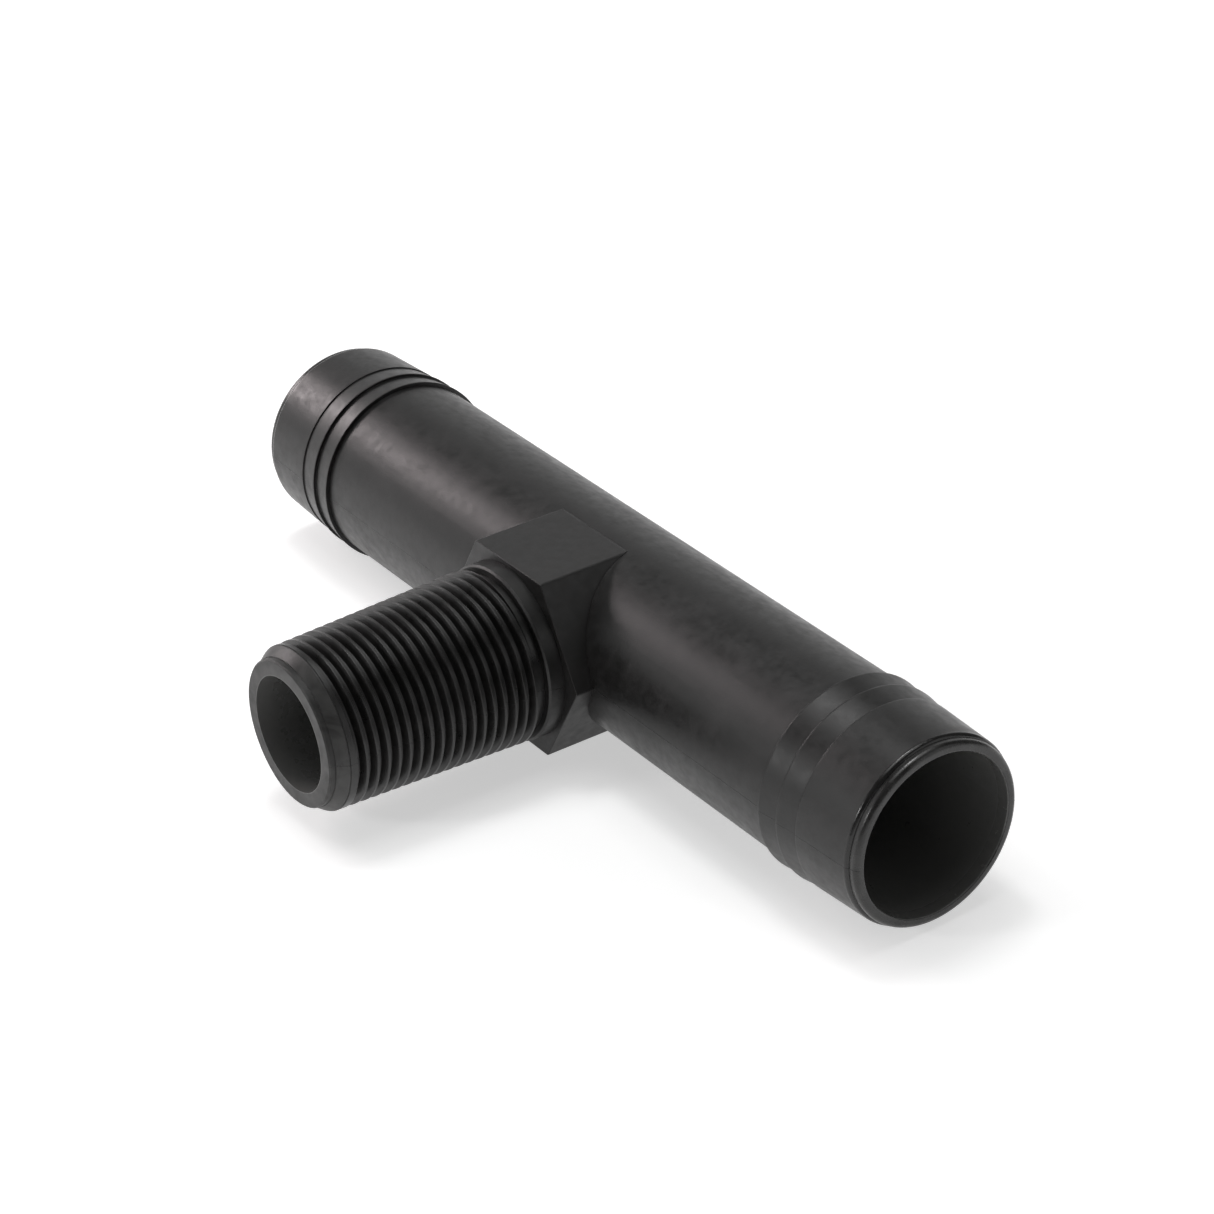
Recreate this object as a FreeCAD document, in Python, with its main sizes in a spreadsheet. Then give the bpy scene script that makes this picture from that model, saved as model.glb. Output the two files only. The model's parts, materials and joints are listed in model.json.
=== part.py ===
import FreeCAD, Part
import os

import Sketcher

# Insert tee for irrigation hose, moulded in one piece: a straight run with a barbed
# end each way, and a side branch with a hexagon and a tapered male pipe thread.
# The moulding is divided, face to face, into its working regions, one solid each.
#
# Frame: origin where the two passages cross, +X along the run, the branch along -Y,
# +Z up. The mould's parting plane is Z = 0. Lengths are in millimetres.

SIZES = {
    # The run
    "run_length": 156.4,
    "run_dia": 30.3,
    "run_wall": 2.25,
    # Hose barbs: saw teeth whose steep faces look back towards the middle
    "barb_zone": 20.2,
    "barb_pitch": 4.0,
    "first_step": 0.6,
    "second_step": 0.45,
    "third_step": 0.2,
    "barb_slope_drop": 0.5,
    "tooth_land": 0.25,
    # The end of the run: a rounded shoulder, then a nose reduced below the tube
    "shoulder_drop": 0.2,
    "shoulder_round": 0.65,
    "nose_drop": 0.65,
    "nose_length": 1.4,
    "nose_round": 0.8,
    "mouth_round": 0.3,
    # The hexagon at the root of the branch
    "hex_flats": 30.0,
    "hex_stand": 3.05,
    "hex_corner_round": 0.5,
    "hex_face_round": 0.12,
    # The branch
    "branch_reach": 57.6,
    "branch_wall": 4.9,
    "collar_step": 0.1,
    "collar_length": 2.7,
    "collar_chamfer": 0.3,
    # The thread: 14 turns to the inch, right hand, taper 1 in 16 on the diameter
    "thread_pitch": 1.8143,
    "thread_dia": 28.0,
    "thread_depth": 1.15,
    "thread_taper": 16.0,
    "crest_land": 0.354,
    "groove_root": 0.35,
    "runout_width": 1.2,
    # The unthreaded lead and the nose at the mouth of the branch
    "lead_length": 2.8,
    "lead_relief": 0.1,
    "lead_land": 0.2,
    "lead_foot_step": 0.15,
    "spigot_nose_drop": 1.39,
    "spigot_nose_length": 1.0,
    "spigot_nose_chamfer": 0.25,
}

# Lengths worked out from the sizes, written as the sheet's own expressions.
RUN_HALF = "sizes.run_length / 2"
RUN_RADIUS = "sizes.run_dia / 2"
RUN_BORE_RADIUS = f"({RUN_RADIUS} - sizes.run_wall)"
BARB_START = f"({RUN_HALF} - sizes.barb_zone)"
SHOULDER = f"({RUN_HALF} - sizes.nose_length)"
SHOULDER_RADIUS = f"({RUN_RADIUS} - sizes.shoulder_drop)"
BRANCH_BORE_RADIUS = "(sizes.thread_dia / 2 - sizes.branch_wall)"
HEX_REACH = f"({RUN_RADIUS} + sizes.hex_stand)"
COLLAR_END = f"({HEX_REACH} + sizes.collar_length)"
LEAD_START = "(sizes.branch_reach - sizes.lead_length)"
RUNOUT_END = f"({COLLAR_END} + sizes.runout_width)"

doc = FreeCAD.newDocument("barbed_tee")
sheet = doc.addObject("Spreadsheet::Sheet", "sizes")
for row, (alias, value) in enumerate(SIZES.items(), start=1):
    sheet.set(f"A{row}", alias)
    sheet.set(f"B{row}", str(value))
    sheet.setAlias(f"B{row}", alias)
doc.recompute()

X_AXIS = FreeCAD.Vector(1, 0, 0)
Y_AXIS = FreeCAD.Vector(0, 1, 0)


def value_of(expression):
    return float(sheet.evalExpression(expression))


def new_body(name):
    body = doc.addObject("PartDesign::Body", name)
    body.Label = name
    return body


def origin_feature(body, role):
    return next(item for item in body.Origin.OriginFeatures if item.Role == role)


def new_sketch(body, name, plane):
    sketch = body.newObject("Sketcher::SketchObject", name)
    sketch.AttachmentSupport = [(origin_feature(body, plane), "")]
    sketch.MapMode = "FlatFace"
    return sketch


def bind(sketch, constraint, name, expression):
    index = sketch.addConstraint(constraint)
    sketch.renameConstraint(index, name)
    sketch.setExpression(f"Constraints.{name}", expression)


def draw_outline(sketch, corners):
    """A closed outline of straight lines, each corner a pair of expressions."""
    points = [FreeCAD.Vector(value_of(across), value_of(up), 0) for across, up in corners]
    count = len(points)
    for index, point in enumerate(points):
        sketch.addGeometry(Part.LineSegment(point, points[(index + 1) % count]), False)
    for index in range(count):
        sketch.addConstraint(Sketcher.Constraint("Coincident", index, 2, (index + 1) % count, 1))
    for index, (across, up) in enumerate(corners):
        point = points[index]
        bind(sketch, Sketcher.Constraint("DistanceX", -1, 1, index, 1, point.x), f"across_{index}", across)
        bind(sketch, Sketcher.Constraint("DistanceY", -1, 1, index, 1, point.y), f"up_{index}", up)


def outline(body, name, plane, corners):
    sketch = new_sketch(body, name, plane)
    draw_outline(sketch, corners)
    return sketch


def circle(body, name, plane, radius):
    sketch = new_sketch(body, name, plane)
    size = value_of(radius)
    sketch.addGeometry(Part.Circle(FreeCAD.Vector(0, 0, 0), FreeCAD.Vector(0, 0, 1), size), False)
    sketch.addConstraint(Sketcher.Constraint("Coincident", 0, 3, -1, 1))
    bind(sketch, Sketcher.Constraint("Radius", 0, size), "radius", radius)
    return sketch


def revolve(body, sketch, axis):
    feature = body.newObject("PartDesign::Revolution", f"{body.Name}_turned")
    feature.Profile = sketch
    feature.ReferenceAxis = (sketch, [axis])
    feature.Angle = 360
    sketch.Visibility = False
    doc.recompute()
    return feature


def cut(body, sketch, name, length, reverse=False, both_ways=False):
    """A pocket; it must take material away, so the volume is compared."""
    before = body.Shape.Volume
    feature = body.newObject("PartDesign::Pocket", name)
    feature.Profile = sketch
    feature.setExpression("Length", length)
    feature.Midplane = both_ways
    feature.Reversed = reverse
    sketch.Visibility = False
    doc.recompute()
    if not body.Shape.Volume < before - 1.0:
        raise RuntimeError(f"{name} cuts nothing")
    return feature


def edges_where(feature, test):
    return [f"Edge{number}" for number, edge in enumerate(feature.Shape.Edges, start=1) if test(edge)]


def round_edges(body, name, radius, test):
    base = body.Tip
    feature = body.newObject("PartDesign::Fillet", name)
    feature.Base = (base, edges_where(base, test))
    feature.setExpression("Radius", radius)
    doc.recompute()
    return feature


def rim_test(axis, place, radius):
    """Picks the circular edge at a place along an axis, of a given radius."""
    def test(edge):
        if not isinstance(edge.Curve, Part.Circle):
            return False
        centre = edge.Curve.Center
        return abs(centre.dot(axis) - place) < 1e-4 and abs(edge.Curve.Radius - radius) < 1e-4
    return test


# --- The run -----------------------------------------------------------------

def make_run_tube():
    """The plain tube between the barbs, with the port that opens into the branch."""
    body = new_body("run_tube")
    corners = [
        (f"-{BARB_START}", RUN_BORE_RADIUS),
        (BARB_START, RUN_BORE_RADIUS),
        (BARB_START, RUN_RADIUS),
        (f"-{BARB_START}", RUN_RADIUS),
    ]
    revolve(body, outline(body, "run_tube_outline", "XY_Plane", corners), "H_Axis")
    port = circle(body, "run_tube_port_circle", "XZ_Plane", BRANCH_BORE_RADIUS)
    cut(body, port, "run_tube_port", "sizes.run_dia", reverse=True)
    return body


def barb_corners(side):
    """Three saw teeth, each a step out, a short land and a long slope down."""
    corners = [(f"{side} * {BARB_START}", RUN_BORE_RADIUS)]
    foot = RUN_RADIUS
    for tooth, step in enumerate(("first_step", "second_step", "third_step")):
        start = f"({BARB_START} + {tooth} * sizes.barb_pitch)"
        crest = f"{foot} + sizes.{step}"
        corners.append((f"{side} * {start}", foot))
        corners.append((f"{side} * {start}", crest))
        corners.append((f"{side} * ({start} + sizes.tooth_land)", crest))
        foot = f"{crest} - sizes.barb_slope_drop"
    corners.append((f"{side} * {SHOULDER}", SHOULDER_RADIUS))
    corners.append((f"{side} * {SHOULDER}", RUN_BORE_RADIUS))
    return corners


def make_barbed_end(name, side):
    body = new_body(name)
    revolve(body, outline(body, f"{name}_outline", "XY_Plane", barb_corners(side)), "H_Axis")
    test = rim_test(X_AXIS, side * value_of(SHOULDER), value_of(SHOULDER_RADIUS))
    round_edges(body, f"{name}_shoulder", "sizes.shoulder_round", test)
    return body


def make_end_nose(name, side):
    """The reduced ring that starts the hose, with a well rounded lip and mouth."""
    body = new_body(name)
    nose_radius = f"({RUN_RADIUS} - sizes.nose_drop)"
    corners = [
        (f"{side} * {SHOULDER}", RUN_BORE_RADIUS),
        (f"{side} * {SHOULDER}", nose_radius),
        (f"{side} * {RUN_HALF}", nose_radius),
        (f"{side} * {RUN_HALF}", RUN_BORE_RADIUS),
    ]
    revolve(body, outline(body, f"{name}_outline", "XY_Plane", corners), "H_Axis")
    lip = rim_test(X_AXIS, side * value_of(RUN_HALF), value_of(nose_radius))
    round_edges(body, f"{name}_lip", "sizes.nose_round", lip)
    mouth = rim_test(X_AXIS, side * value_of(RUN_HALF), value_of(RUN_BORE_RADIUS))
    round_edges(body, f"{name}_mouth", "sizes.mouth_round", mouth)
    return body


# --- The branch --------------------------------------------------------------

def make_hex_boss():
    """The spanner hexagon, its flats up and down, saddled on the run."""
    body = new_body("hex_boss")
    half_flats = "sizes.hex_flats / 2"
    point_radius = "sizes.hex_flats / 3 ^ 0.5"
    corners = [
        (point_radius, "0"),
        (f"{point_radius} / 2", half_flats),
        (f"-{point_radius} / 2", half_flats),
        (f"-{point_radius}", "0"),
        (f"-{point_radius} / 2", f"-{half_flats}"),
        (f"{point_radius} / 2", f"-{half_flats}"),
    ]
    sketch = outline(body, "hex_boss_outline", "XZ_Plane", corners)
    pad = body.newObject("PartDesign::Pad", "hex_boss_block")
    pad.Profile = sketch
    pad.setExpression("Length", HEX_REACH)
    sketch.Visibility = False
    doc.recompute()
    if body.Shape.BoundBox.YMax > 1.0:
        raise RuntimeError("the hexagon points the wrong way")

    face = value_of(HEX_REACH)
    round_edges(body, "hex_boss_corners", "sizes.hex_corner_round",
                lambda edge: edge.BoundBox.YLength > face - 1e-4)
    round_edges(body, "hex_boss_face_edges", "sizes.hex_face_round",
                lambda edge: edge.BoundBox.YMax < 1e-4 - face)
    saddle = circle(body, "hex_boss_saddle_circle", "YZ_Plane", RUN_RADIUS)
    cut(body, saddle, "hex_boss_saddle", "3 * sizes.hex_flats", both_ways=True)
    passage = circle(body, "hex_boss_passage_circle", "XZ_Plane", BRANCH_BORE_RADIUS)
    cut(body, passage, "hex_boss_passage", f"2 * {HEX_REACH}", reverse=True)
    return body


def branch_ring(name, corners):
    """A turned piece of the branch; corners are (distance from the run's axis, radius)."""
    body = new_body(name)
    turned = [(radius, f"-{distance}") for distance, radius in corners]
    revolve(body, outline(body, f"{name}_outline", "XY_Plane", turned), "V_Axis")
    return body


def make_branch_collar():
    radius = "(sizes.thread_dia / 2 + sizes.collar_step)"
    return branch_ring("branch_collar", [
        (HEX_REACH, BRANCH_BORE_RADIUS),
        (HEX_REACH, radius),
        (f"({COLLAR_END} - sizes.collar_chamfer)", radius),
        (COLLAR_END, f"{radius} - sizes.collar_chamfer"),
        (COLLAR_END, BRANCH_BORE_RADIUS),
    ])


def crest_radius(distance):
    """The thread's crest radius at a distance from the run's axis."""
    return f"(sizes.thread_dia / 2 - ({distance} - {COLLAR_END}) / (2 * sizes.thread_taper))"


def make_thread_groove():
    """The cutter of the helical groove, from the small end up into the run-out groove."""
    first = f"({LEAD_START} - sizes.thread_pitch / 2)"
    root = f"{crest_radius(first)} - sizes.thread_depth"
    mouth = f"{crest_radius(first)} + sizes.thread_depth / 8"
    half_root = "sizes.groove_root / 2"
    flank = "(sizes.thread_pitch - sizes.crest_land - sizes.groove_root) / 2"
    half_mouth = f"({half_root} + {flank} * 9 / 8)"
    section = doc.addObject("Sketcher::SketchObject", "thread_groove_section")
    draw_outline(section, [
        (root, f"-({first} + {half_root})"),
        (mouth, f"-({first} + {half_mouth})"),
        (mouth, f"-({first} - {half_mouth})"),
        (root, f"-({first} - {half_root})"),
    ])
    spine = doc.addObject("Part::Helix", "thread_helix")
    spine.LocalCoord = "Right-handed"
    spine.SegmentLength = 1
    spine.setExpression("Pitch", "sizes.thread_pitch")
    spine.setExpression("Height", f"{first} - {RUNOUT_END} + sizes.runout_width / 2")
    spine.setExpression("Radius", crest_radius(first))
    spine.setExpression("Angle", "atan(1 / (2 * sizes.thread_taper))")
    spine.Placement = FreeCAD.Placement(FreeCAD.Vector(), FreeCAD.Rotation(X_AXIS, -90))
    spine.setExpression("Placement.Base.y", f"-{first}")
    groove = doc.addObject("Part::Sweep", "thread_groove")
    groove.Sections = [section]
    groove.Spine = (spine, [])
    groove.Solid = True
    groove.Frenet = True
    # Half a turn about the branch: the groove starts on the branch's -X side.
    groove.Placement = FreeCAD.Placement(FreeCAD.Vector(), FreeCAD.Rotation(Y_AXIS, 180))
    return groove


def make_threaded_spigot():
    """The tapered thread: a cone with a run-out groove and one helical groove cut in it."""
    root_at_runout = f"{crest_radius(RUNOUT_END)} - sizes.thread_depth"
    blank = branch_ring("thread_blank", [
        (COLLAR_END, BRANCH_BORE_RADIUS),
        (COLLAR_END, root_at_runout),
        (RUNOUT_END, root_at_runout),
        (RUNOUT_END, crest_radius(RUNOUT_END)),
        (LEAD_START, crest_radius(LEAD_START)),
        (LEAD_START, BRANCH_BORE_RADIUS),
    ])
    spigot = doc.addObject("Part::Cut", "threaded_spigot")
    spigot.Base = blank
    spigot.Tool = make_thread_groove()
    doc.recompute()
    if not spigot.Shape.Volume < 0.95 * blank.Shape.Volume:
        raise RuntimeError("the thread groove cuts nothing")
    return spigot


def make_spigot_nose():
    """The plain lead that finds the socket: a short land, a cone and the reduced nose."""
    nose_radius = f"({crest_radius(LEAD_START)} - sizes.spigot_nose_drop)"
    nose_start = "(sizes.branch_reach - sizes.spigot_nose_length)"
    land_end = f"({LEAD_START} + sizes.lead_land)"
    land_radius = f"{crest_radius(LEAD_START)} - sizes.lead_relief"
    return branch_ring("spigot_nose", [
        (LEAD_START, BRANCH_BORE_RADIUS),
        (LEAD_START, land_radius),
        (land_end, land_radius),
        (nose_start, f"{nose_radius} + sizes.lead_foot_step"),
        (nose_start, nose_radius),
        ("(sizes.branch_reach - sizes.spigot_nose_chamfer)", nose_radius),
        ("sizes.branch_reach", f"{nose_radius} - sizes.spigot_nose_chamfer"),
        ("sizes.branch_reach", BRANCH_BORE_RADIUS),
    ])


nodes = [make_run_tube()]
for side_name, side in (("left", -1), ("right", 1)):
    nodes.append(make_barbed_end(f"barbed_end_{side_name}", side))
    nodes.append(make_end_nose(f"end_nose_{side_name}", side))
nodes.append(make_hex_boss())
nodes.append(make_branch_collar())
nodes.append(make_threaded_spigot())
nodes.append(make_spigot_nose())

doc.recompute()
for item in doc.Objects:
    if "Invalid" in item.State or "Error" in item.State:
        raise RuntimeError(f"{item.Name} failed: {item.State}")
for node in nodes:
    if node.Shape.isNull() or not node.Shape.isValid() or len(node.Shape.Solids) != 1:
        raise RuntimeError(f"{node.Label} is not one valid solid")

os.makedirs("parts", exist_ok=True)
for node in nodes:
    node.Shape.exportStep(f"parts/{node.Label}.step")
    print(f"{node.Label:20s} {node.Shape.Volume:10.1f} mm3")
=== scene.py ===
import json
import math

import bmesh
import bpy
from mathutils import Euler, Matrix, Vector


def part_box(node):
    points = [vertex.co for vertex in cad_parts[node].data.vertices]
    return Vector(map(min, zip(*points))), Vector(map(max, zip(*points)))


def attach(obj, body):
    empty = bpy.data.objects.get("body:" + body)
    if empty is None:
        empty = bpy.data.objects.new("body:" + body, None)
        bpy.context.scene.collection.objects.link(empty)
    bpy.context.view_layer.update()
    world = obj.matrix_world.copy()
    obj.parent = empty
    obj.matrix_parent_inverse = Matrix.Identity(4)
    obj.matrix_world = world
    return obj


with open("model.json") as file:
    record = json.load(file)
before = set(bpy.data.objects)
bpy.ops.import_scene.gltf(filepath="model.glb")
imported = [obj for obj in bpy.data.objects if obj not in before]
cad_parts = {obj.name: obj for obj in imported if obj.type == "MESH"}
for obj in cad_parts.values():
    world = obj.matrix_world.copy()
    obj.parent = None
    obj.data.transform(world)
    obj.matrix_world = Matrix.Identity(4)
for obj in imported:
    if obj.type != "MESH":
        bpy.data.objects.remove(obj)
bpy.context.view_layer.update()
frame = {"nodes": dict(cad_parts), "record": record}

# Looks of a black insert tee for irrigation hose, moulded in one piece. The packed
# nodes keep their shape and get their finish here. The thin marks that a mould leaves,
# its parting line and its trimmed gate, are added as pieces of their own.
# Lengths are in metres. X runs along the hose, the branch points along -Y, Z is up,
# and the two halves of the mould met at Z = 0.

MM = 0.001
nodes = frame["nodes"]


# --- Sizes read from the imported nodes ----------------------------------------

run_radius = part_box("run_tube")[1].y
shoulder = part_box("barbed_end_right")[1].x
floor_height = min(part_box(name)[0].z for name in nodes)
mounts = {mount["name"]: mount for mount in frame["record"]["mounts"]}
run_bore_radius = mounts["run_bore"]["dims"]["r_mm"] * MM
branch_bore_radius = mounts["branch_bore"]["dims"]["r_mm"] * MM


# --- Shader maths ------------------------------------------------------------

class Value:
    """A socket in a finish's node tree; arithmetic on it adds Math nodes."""

    def __init__(self, finish, socket):
        self.finish = finish
        self.socket = socket

    def _math(self, operation, *inputs, clamp=False):
        settings = {"operation": operation, "use_clamp": clamp}
        return self.finish.node("ShaderNodeMath", settings, dict(enumerate(inputs)))

    def __add__(self, other):
        return self._math("ADD", self, other)

    def __radd__(self, other):
        return self._math("ADD", other, self)

    def __sub__(self, other):
        return self._math("SUBTRACT", self, other)

    def __rsub__(self, other):
        return self._math("SUBTRACT", other, self)

    def __mul__(self, other):
        return self._math("MULTIPLY", self, other)

    def __rmul__(self, other):
        return self._math("MULTIPLY", other, self)

    def __pow__(self, other):
        return self._math("POWER", self, other)

    def __lt__(self, other):
        return self._math("LESS_THAN", self, other)

    def abs(self):
        return self._math("ABSOLUTE", self)

    def clamped(self):
        return self._math("ADD", self, 0.0, clamp=True)


class Finish:
    """The node tree of a material or of the world, under construction."""

    def __init__(self, owner, coordinates="Object"):
        owner.use_nodes = True
        self.owner = owner
        self.tree = owner.node_tree
        self.tree.nodes.clear()
        self.place = self.node("ShaderNodeTexCoord", output=coordinates)

    def feed(self, socket, value):
        """Links a Value to the socket, or sets the socket to a plain value."""
        if isinstance(value, Value):
            self.tree.links.new(value.socket, socket)
        else:
            socket.default_value = value

    def node(self, kind, settings=None, inputs=None, output=0):
        made = self.tree.nodes.new(kind)
        for setting, value in (settings or {}).items():
            setattr(made, setting, value)
        for name, value in (inputs or {}).items():
            self.feed(made.inputs[name], value)
        return Value(self, made.outputs[output])

    def stretched(self, scale, turn=(0.0, 0.0, 0.0)):
        """The piece's own coordinates, scaled to one unit per pattern cell."""
        return self.node("ShaderNodeMapping", None, {
            "Vector": self.place, "Rotation": turn, "Scale": scale})

    def noise(self, scale, detail=2.0, roughness=0.5, place=None, distortion=0.0):
        """Soft noise from 0 to 1, centred on one half."""
        return self.node("ShaderNodeTexNoise", None, {
            "Vector": place or self.place, "Scale": scale, "Detail": detail,
            "Roughness": roughness, "Distortion": distortion})

    def ramp(self, value, low, high):
        """0 below low, 1 above high, smooth between."""
        return self.node("ShaderNodeMapRange", {"interpolation_type": "SMOOTHSTEP"}, {
            "Value": value, "From Min": low, "From Max": high})

    def blend(self, factor, first, second, kind="Color"):
        """A mix of two colours, or of two vectors where kind is Vector."""
        made = self.tree.nodes.new("ShaderNodeMix")
        made.data_type = {"Color": "RGBA", "Vector": "VECTOR"}[kind]
        sockets = {socket.identifier: socket for socket in (*made.inputs, *made.outputs)}
        self.feed(sockets["Factor_Float"], factor)
        self.feed(sockets[f"A_{kind}"], first)
        self.feed(sockets[f"B_{kind}"], second)
        return Value(self, sockets[f"Result_{kind}"])

    def parts_of(self, vector):
        """The X, Y and Z of a vector."""
        made = self.tree.nodes.new("ShaderNodeSeparateXYZ")
        self.feed(made.inputs[0], vector)
        return [Value(self, socket) for socket in made.outputs]

    def surface(self, colour, roughness, normal, **constants):
        """Ends a material in one plastic or painted surface, and returns the material."""
        inputs = {"Base Color": colour, "Roughness": roughness, "Normal": normal}
        inputs.update((name.replace("_", " "), value) for name, value in constants.items())
        shader = self.node("ShaderNodeBsdfPrincipled", None, inputs)
        output = self.tree.nodes.new("ShaderNodeOutputMaterial")
        self.feed(output.inputs["Surface"], shader)
        return self.owner


# --- The plastic -------------------------------------------------------------

# The skin is BLACK with a faint BLOOM, and RUBBED along its edges and scuffs. BORE_WALL_PAINTED_LIGHT
# is the walls of the passages, painted far paler than the skin as painted light inside the
# bores, and TRIMMED is skin that has been cut or handled.
BLACK = (0.0058, 0.0056, 0.0053, 1.0)
BLOOM = (0.0105, 0.0098, 0.0096, 1.0)
RUBBED = (0.0170, 0.0168, 0.0165, 1.0)
BORE_WALL_PAINTED_LIGHT = (0.1000, 0.1000, 0.0970, 1.0)
TRIMMED = (0.0520, 0.0520, 0.0500, 1.0)

PIN_SPACING = 34.0 * MM     # from the middle of the run to each ejector pin
PIN_RADIUS = 2.6 * MM
PIN_MARK_DEPTH = 0.04 * MM
BORE_MARGIN = 0.1 * MM
EDGE_RADIUS = 0.12 * MM
POLISH_START = 0.9 * MM     # both are measured back from the outer end of a shoulder
POLISH_FULL = 0.6 * MM
EVEN_FLOW = (300.0, 300.0, 300.0)


def moulded_plastic(name, flow, gloss, grain_height, ejected=False, scuffed=0.0):
    """Satin black moulded plastic.

    flow is how many of the melt's streaks fit in a metre along X, Y and Z, so a streak
    runs furthest along the axis with the smallest number.
    """
    finish = Finish(bpy.data.materials.new(name))
    x, y, z = finish.parts_of(finish.place)

    # How far a point lies from the middle of each passage tells the outer skin from the
    # passages' walls. The branch's passage ends at the run's axis, so it never reaches
    # the back of the run.
    off_run = (y * y + z * z) ** 0.5
    off_branch = (x * x + z * z) ** 0.5
    in_run = off_run < run_bore_radius + BORE_MARGIN
    in_branch = (off_branch < branch_bore_radius + BORE_MARGIN) * (y < 0.0)
    cored = (in_run + in_branch).clamped()
    skin = 1.0 - cored

    cloud = finish.noise(150.0, detail=4.0, roughness=0.6, distortion=0.5)
    streaks = finish.noise(1.0, detail=3.0, roughness=0.6, place=finish.stretched(flow))
    pores = finish.noise(2600.0, detail=2.0, roughness=0.6)
    mottle = finish.noise(620.0, detail=3.0, roughness=0.6)

    # Fine scuffs from handling: thin ridges of stretched noise, in two directions.
    along = finish.stretched((240.0, 1900.0, 1900.0), (0.3, 0.2, 0.5))
    across = finish.stretched((1700.0, 260.0, 1500.0), (0.9, 0.1, -0.6))
    first_scuffs = finish.noise(1.0, detail=1.0, place=along)
    second_scuffs = finish.noise(1.0, detail=1.0, place=across)
    scuffs = finish.ramp(0.018 - (first_scuffs - 0.5).abs(), 0.0, 0.018)
    scuffs = scuffs + finish.ramp(0.012 - (second_scuffs - 0.5).abs(), 0.0, 0.012)
    scuffs = scuffs * finish.ramp(cloud, 0.50, 0.68) * skin

    # Edges are rounded for the light, and rubbed a little paler.
    true_normal = finish.node("ShaderNodeNewGeometry", output="Normal")
    soft_normal = finish.node("ShaderNodeBevel", {"samples": 6}, {"Radius": EDGE_RADIUS})
    bend = finish.node("ShaderNodeVectorMath", {"operation": "DOT_PRODUCT"},
                       {0: true_normal, 1: soft_normal}, output="Value")
    rubbed = finish.ramp(1.0 - bend, 0.03, 0.30) * skin

    colour = finish.blend(finish.ramp(cloud * 0.6 + streaks * 0.4, 0.38, 0.66), BLACK, BLOOM)
    colour = finish.blend((rubbed * 0.15 + scuffs * 0.15).clamped(), colour, RUBBED)
    # The passages' walls are painted much paler than the skin, as painted light inside the dark bores.
    colour = finish.blend(cored, colour, BORE_WALL_PAINTED_LIGHT)
    if scuffed:
        # Where the moulding is handled and cut, the skin is paler in patches.
        patches = finish.noise(210.0, detail=3.0, roughness=0.6, distortion=0.8)
        patches = finish.ramp(patches, 0.36, 0.60)
        colour = finish.blend(patches * skin * scuffed, colour, TRIMMED)
    roughness = gloss + (cloud - 0.5) * 0.14 + (streaks - 0.5) * 0.12 + (mottle - 0.5) * 0.30
    roughness = roughness + scuffs * 0.03 + rubbed * 0.04 - cored * 0.05
    if ejected:
        # The rounded shoulders at the ends come off the best polished part of the mould.
        polished = finish.ramp(x.abs(), shoulder - POLISH_START, shoulder - POLISH_FULL)
        roughness = roughness - polished * 0.16

    relief = pores * 0.35 + mottle * 0.65 + streaks * 0.5 - scuffs * 0.15
    base_normal = finish.blend(skin, true_normal, soft_normal, kind="Vector")
    normal = finish.node("ShaderNodeBump", None, {
        "Strength": 1.0, "Distance": grain_height, "Height": relief, "Normal": base_normal})
    if ejected:
        # Two ejector pins pushed the moulding out and left round flats underneath, each
        # with a fine groove round it.
        pin = ((((x.abs() - PIN_SPACING) ** 2.0) + y * y) ** 0.5) * (1.0 / PIN_RADIUS)
        witness = finish.ramp(1.04 - pin, 0.0, 0.06) * (z < 0.0)
        witness = witness - finish.ramp(0.07 - (pin - 1.04).abs(), 0.0, 0.05) * (z < 0.0) * 0.8
        normal = finish.node("ShaderNodeBump", None, {
            "Strength": 1.0, "Distance": PIN_MARK_DEPTH, "Height": witness, "Normal": normal})
    return finish.surface(colour, roughness, normal, IOR=1.49)


run_finish = moulded_plastic("black plastic, run", (70.0, 420.0, 420.0), 0.39, 0.018 * MM, ejected=True)
branch_finish = moulded_plastic("black plastic, branch", (420.0, 90.0, 420.0), 0.44, 0.013 * MM)
thread_finish = moulded_plastic("black plastic, thread", EVEN_FLOW, 0.34, 0.006 * MM)
lead_finish = moulded_plastic("black plastic, lead", EVEN_FLOW, 0.48, 0.016 * MM, scuffed=0.45)
nose_finish = moulded_plastic("black plastic, nose", EVEN_FLOW, 0.28, 0.010 * MM, scuffed=0.30)

for name, finish in {
    "run_tube": run_finish,
    "barbed_end_left": run_finish,
    "barbed_end_right": run_finish,
    "end_nose_left": nose_finish,
    "end_nose_right": nose_finish,
    "hex_boss": branch_finish,
    "branch_collar": branch_finish,
    "threaded_spigot": thread_finish,
    "spigot_nose": lead_finish,
}.items():
    for slot in nodes[name].material_slots:
        slot.material = finish


# --- Marks of the mould ------------------------------------------------------

RIDGE_WIDTH = 0.14 * MM
RIDGE_HEIGHT = 0.008 * MM
MERGE_DISTANCE = 0.002 * MM
CUT_TOLERANCE = 0.0001 * MM
SKIN_MARGIN = 0.9 * MM

GATE_BASE_RADIUS = 1.9 * MM
GATE_TOP_RADIUS = 1.5 * MM
GATE_HEIGHT = 0.8 * MM
GATE_ROUND = 0.12 * MM
GATE_STEPS = (0.25 * MM, 0.35 * MM, 0.35 * MM)
GATE_DISHING = 0.02 * MM
GATE_TEAR = 0.03 * MM
GATE_TORN_DEPTH = 0.1 * MM
GATE_TORN_RADIUS = 1.3 * MM
GATE_STANDOFF = 0.02 * MM


def keep_piece(name, shape, finish):
    """Makes the shape an object that rides with the moulding."""
    mesh = bpy.data.meshes.new(name)
    for face in shape.faces:
        face.smooth = False
    shape.to_mesh(mesh)
    shape.free()
    piece = bpy.data.objects.new(name, mesh)
    bpy.context.scene.collection.objects.link(piece)
    mesh.materials.append(finish)
    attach(piece, "root")
    return piece


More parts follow.
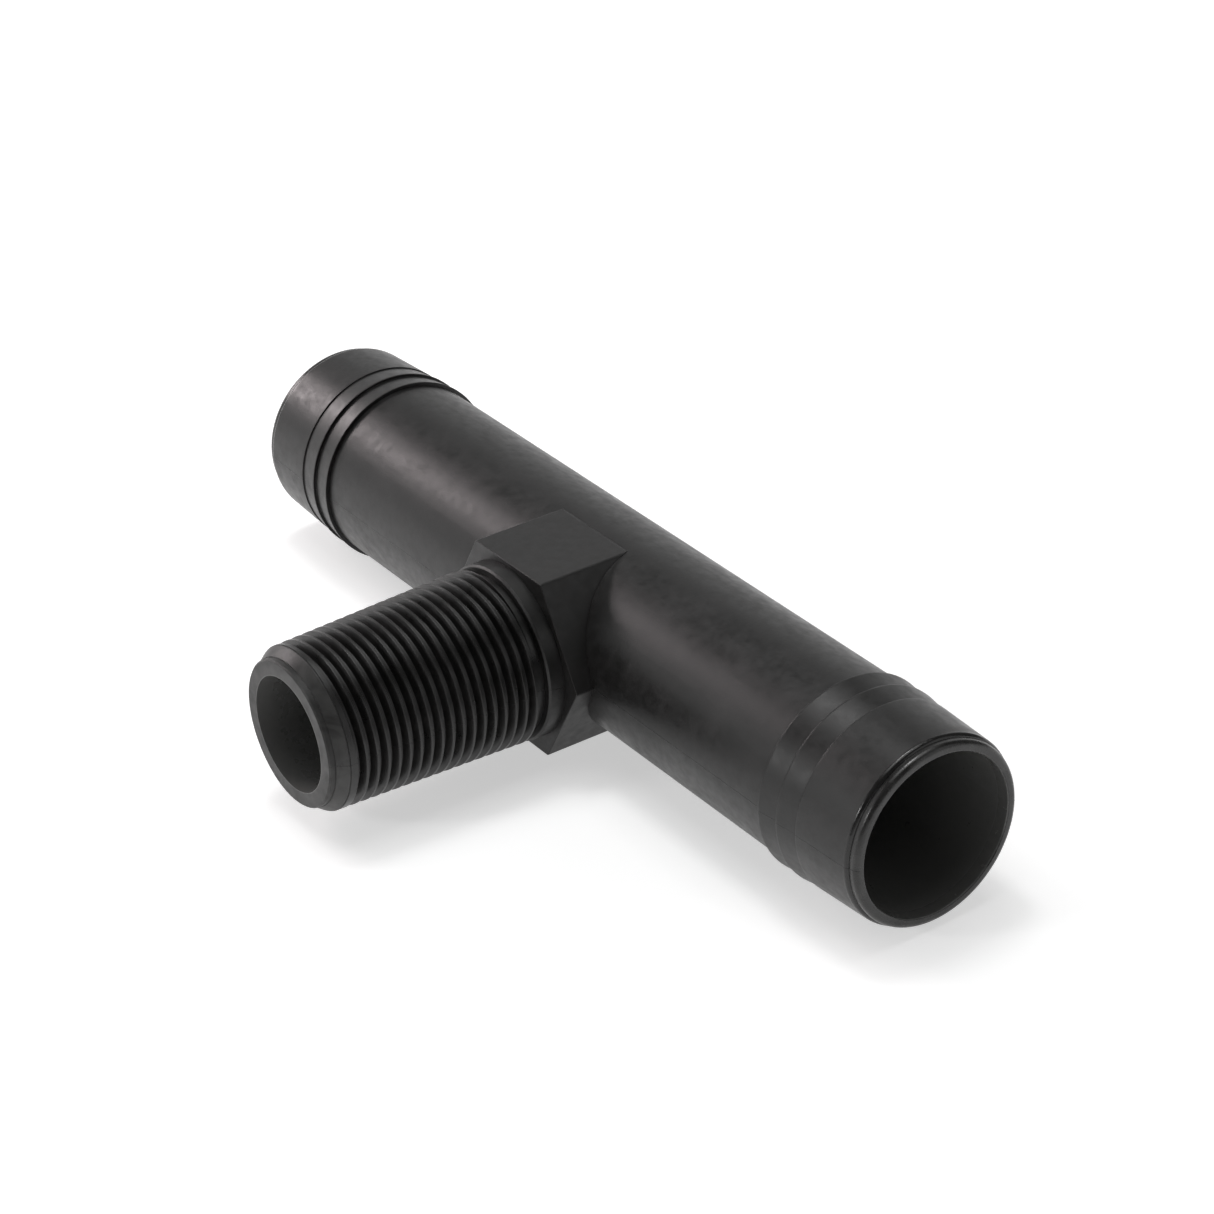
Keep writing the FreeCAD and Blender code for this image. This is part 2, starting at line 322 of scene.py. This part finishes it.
def parting_ridge(name, source, on_skin):
    """The hair of plastic squeezed out along a node where the mould's halves met."""
    shape = bmesh.new()
    shape.from_mesh(nodes[source].data)
    bmesh.ops.remove_doubles(shape, verts=shape.verts, dist=MERGE_DISTANCE)
    everything = shape.verts[:] + shape.edges[:] + shape.faces[:]
    cut = bmesh.ops.bisect_plane(shape, geom=everything, dist=CUT_TOLERANCE,
                                 plane_co=(0.0, 0.0, 0.0), plane_no=(0.0, 0.0, 1.0))
    line = {item for item in cut["geom_cut"] if isinstance(item, bmesh.types.BMEdge)
            and all(on_skin(vert.co) for vert in item.verts)}
    rest = [edge for edge in shape.edges if edge not in line]
    bmesh.ops.delete(shape, geom=rest, context="EDGES")
    loose = [vert for vert in shape.verts if not vert.link_edges]
    bmesh.ops.delete(shape, geom=loose, context="VERTS")
    bmesh.ops.translate(shape, verts=shape.verts, vec=(0.0, 0.0, -RIDGE_WIDTH / 2))
    extruded = bmesh.ops.extrude_edge_only(shape, edges=shape.edges[:])["geom"]
    risen = [item for item in extruded if isinstance(item, bmesh.types.BMVert)]
    bmesh.ops.translate(shape, verts=risen, vec=(0.0, 0.0, RIDGE_WIDTH))
    bmesh.ops.recalc_face_normals(shape, faces=shape.faces)
    piece = keep_piece(name, shape, thread_finish)
    thickness = piece.modifiers.new("thickness", "SOLIDIFY")
    thickness.thickness = 2 * RIDGE_HEIGHT
    thickness.offset = 0.0


def trimmed_gate():
    """The stub left at the back of the run where the plastic was let in and cut off."""
    shape = bmesh.new()
    bmesh.ops.create_cone(shape, cap_ends=True, segments=48, radius1=GATE_BASE_RADIUS,
                          radius2=GATE_TOP_RADIUS, depth=GATE_HEIGHT)
    top_height = GATE_HEIGHT / 2
    rim = [edge for edge in shape.edges
           if all(abs(vert.co.z - top_height) < CUT_TOLERANCE for vert in edge.verts)]
    bmesh.ops.bevel(shape, geom=rim, offset=GATE_ROUND, segments=2, affect="EDGES",
                    profile=0.5, material=-1)

    # The cut face is dished in three steps, and torn a little uneven.
    top = max(shape.faces, key=lambda face: face.calc_center_median().z)
    for step in GATE_STEPS:
        bmesh.ops.inset_region(shape, faces=[top], thickness=step, depth=-GATE_DISHING)
    for vert in shape.verts:
        if vert.co.z > top_height - GATE_TORN_DEPTH and vert.co.xy.length < GATE_TORN_RADIUS:
            wave = math.sin(3100.0 * vert.co.x + 1.3) * math.cos(2300.0 * vert.co.y)
            vert.co.z += GATE_TEAR * wave

    facing_back = Euler((-math.pi / 2, 0.0, 0.0)).to_matrix()
    bmesh.ops.rotate(shape, verts=shape.verts, cent=(0.0, 0.0, 0.0), matrix=facing_back)
    bmesh.ops.translate(shape, verts=shape.verts, vec=(0.0, run_radius + GATE_STANDOFF, 0.0))
    keep_piece("trimmed_gate", shape, branch_finish)


def on_run_skin(point):
    return abs(point.y) > run_bore_radius + SKIN_MARGIN


def on_branch_skin(point):
    return abs(point.x) > branch_bore_radius + SKIN_MARGIN


for name in ("run_tube", "barbed_end_left", "barbed_end_right", "end_nose_left", "end_nose_right"):
    parting_ridge(f"parting_ridge_{name}", name, on_run_skin)
for name in ("hex_boss", "branch_collar", "threaded_spigot", "spigot_nose"):
    parting_ridge(f"parting_ridge_{name}", name, on_branch_skin)
trimmed_gate()


# --- Stage -------------------------------------------------------------------

WHITE = (1.0, 1.0, 1.0)
WARM = (1.0, 0.90, 0.91)
TABLE_SIZE = 3.0


def studio_floor():
    """A plain white table that glows a little."""
    shape = bmesh.new()
    bmesh.ops.create_grid(shape, x_segments=1, y_segments=1, size=TABLE_SIZE)
    bmesh.ops.translate(shape, verts=shape.verts, vec=(0.0, 0.0, floor_height))
    mesh = bpy.data.meshes.new("floor")
    shape.to_mesh(mesh)
    shape.free()
    floor = bpy.data.objects.new("floor", mesh)
    bpy.context.scene.collection.objects.link(floor)
    finish = Finish(bpy.data.materials.new("lit white table"))
    tooth = finish.noise(900.0, detail=2.0)
    normal = finish.node("ShaderNodeBump", None, {
        "Strength": 0.2, "Distance": 0.02 * MM, "Height": tooth})
    mesh.materials.append(finish.surface((0.80, 0.80, 0.80, 1.0), 0.9, normal, IOR=1.3,
                                         Emission_Color=WHITE + (1.0,), Emission_Strength=0.52))


def softbox(name, position, aim, width, height, power, colour):
    """An evenly lit rectangle, pointing from position at aim."""
    data = bpy.data.lights.new(name, "AREA")
    data.color = colour
    data.shape = "RECTANGLE"
    data.size = width
    data.size_y = height
    data.energy = power
    light = bpy.data.objects.new(name, data)
    turn = (Vector(aim) - Vector(position)).to_track_quat("-Z", "Y").to_matrix().to_4x4()
    light.matrix_world = Matrix.Translation(position) @ turn
    bpy.context.scene.collection.objects.link(light)


def studio_walls(dim, bright):
    """A dim room whose left wall is a tall white sheet."""
    room = Finish(bpy.data.worlds.new("studio"), coordinates="Generated")
    x, _, z = room.parts_of(room.place)
    sheet = room.ramp(0.70 - z, 0.0, 0.28) * room.ramp(-0.15 - x, 0.0, 0.40)
    background = room.node("ShaderNodeBackground", None, {"Strength": dim + sheet * (bright - dim)})
    output = room.tree.nodes.new("ShaderNodeOutputWorld")
    room.feed(output.inputs["Surface"], background)
    bpy.context.scene.world = room.owner


studio_floor()
studio_walls(0.16, 1.00)
softbox("window", (-0.74, -0.24, 0.36), (-0.04, 0.0, 0.0), 0.30, 0.20, 2.0, WARM)
softbox("front card", (-0.13, -0.63, 0.27), (0.0, -0.02, 0.0), 0.09, 0.09, 0.70, WHITE)
softbox("overhead", (-0.10, 0.0, 1.0), (0.0, 0.0, 0.0), 0.80, 0.80, 3.4, WHITE)
softbox("top lamp", (-0.21, 0.0, 0.98), (0.04, 0.0, 0.0), 0.20, 0.20, 1.6, WHITE)
softbox("right card", (0.64, 0.39, 0.29), (0.03, 0.0, 0.0), 0.50, 0.50, 0.50, WHITE)


# --- Camera ------------------------------------------------------------------

def aim_camera(azimuth, elevation, roll, distance, across, above, lens):
    """A camera at an angle about the tee; across and above shift its aim sideways and up."""
    azimuth, elevation, roll = (math.radians(angle) for angle in (azimuth, elevation, roll))
    back = Vector((
        math.sin(azimuth) * math.cos(elevation),
        -math.cos(azimuth) * math.cos(elevation),
        math.sin(elevation),
    ))
    right = Vector((0.0, 0.0, 1.0)).cross(back).normalized()
    up = back.cross(right)
    aim = right * across + up * above
    turn = Matrix.Rotation(roll, 3, back)
    axes = Matrix((turn @ right, turn @ up, back)).transposed()
    data = bpy.data.cameras.new("camera")
    data.lens = lens
    data.sensor_width = 36.0
    data.clip_start = 0.01
    data.clip_end = 20.0
    camera = bpy.data.objects.new("camera", data)
    camera.matrix_world = Matrix.Translation(aim + back * distance) @ axes.to_4x4()
    bpy.context.scene.collection.objects.link(camera)
    bpy.context.scene.camera = camera


aim_camera(azimuth=55.61, elevation=30.44, roll=-1.97, distance=0.5328,
           across=-0.00036, above=0.00053, lens=102.45)
bpy.context.scene.view_settings.view_transform = "Standard"
